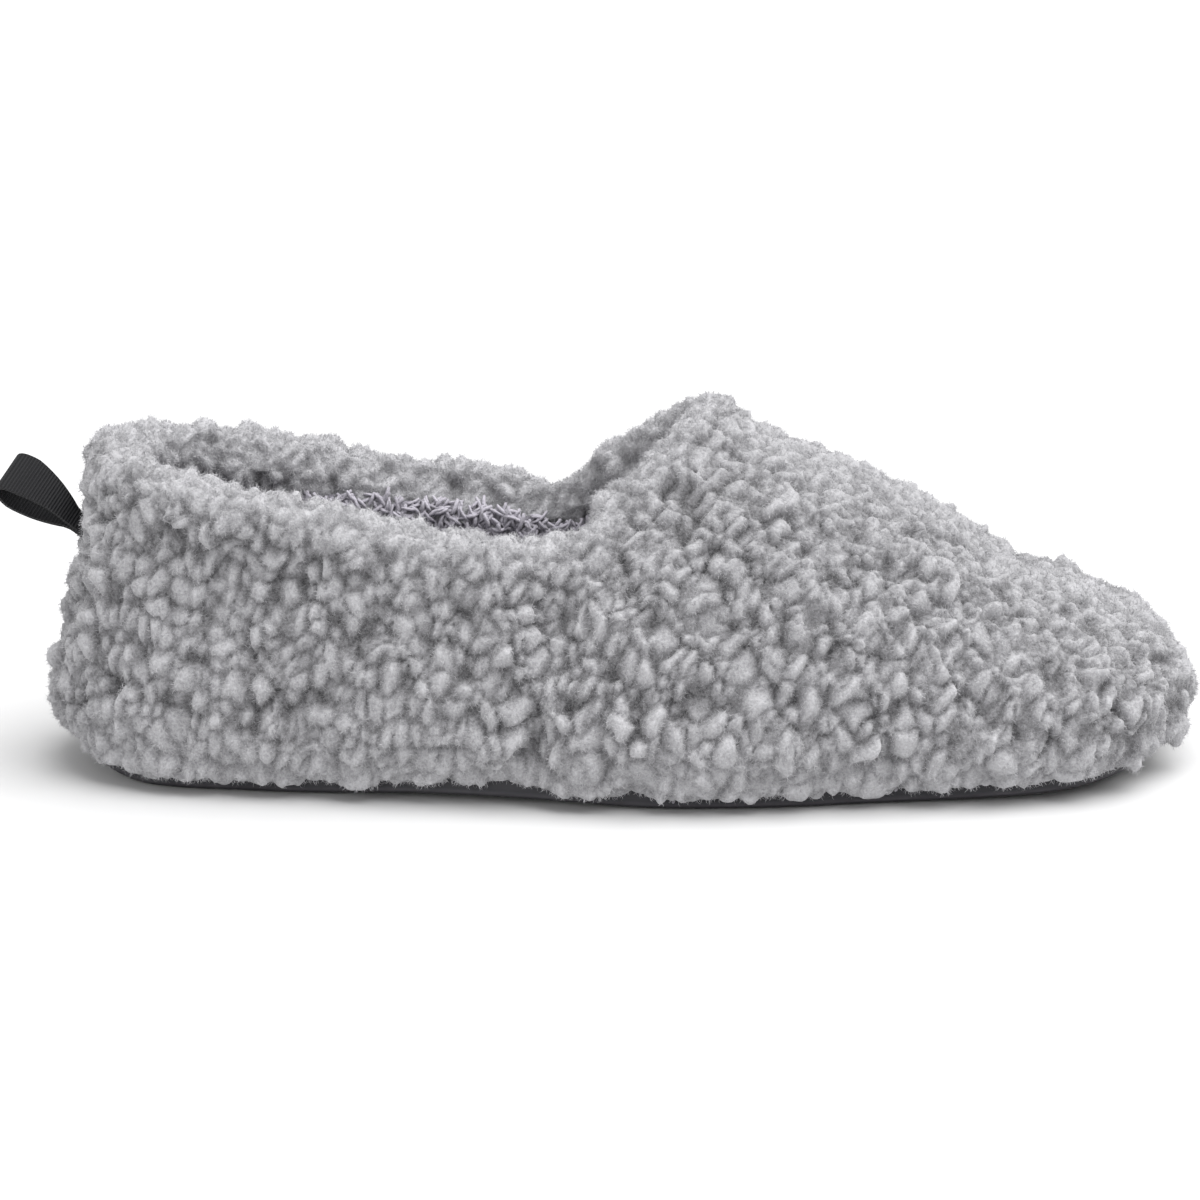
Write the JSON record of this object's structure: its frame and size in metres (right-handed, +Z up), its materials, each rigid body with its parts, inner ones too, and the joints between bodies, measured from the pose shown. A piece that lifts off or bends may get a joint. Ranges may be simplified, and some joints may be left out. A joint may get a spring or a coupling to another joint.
{
  "type": "faux fur slipper",
  "caption": "Low closed-back house slipper: curly fleece upper with turned-in cuff, plush footbed, thin flat sole and webbing pull loop.",
  "frame": {"origin": "on the floor under the middle of the heel seat", "axes": "+X to the toe, +Z up, so +Y is the inner side of this right slipper"},
  "size_m": [0.2866, 0.1132, 0.0871],
  "materials": {
    "sole_rubber": "matte charcoal, smooth",
    "footbed_plush": "short plush, mauve-grey",
    "curly_fleece": "light grey curly pile",
    "webbing": "black ribbed webbing"
  },
  "bodies": {
    "root": {"outsole": "sole_rubber", "insole": "footbed_plush", "upper": "curly_fleece", "pull_loop": "webbing"}
  },
  "joints": []
}
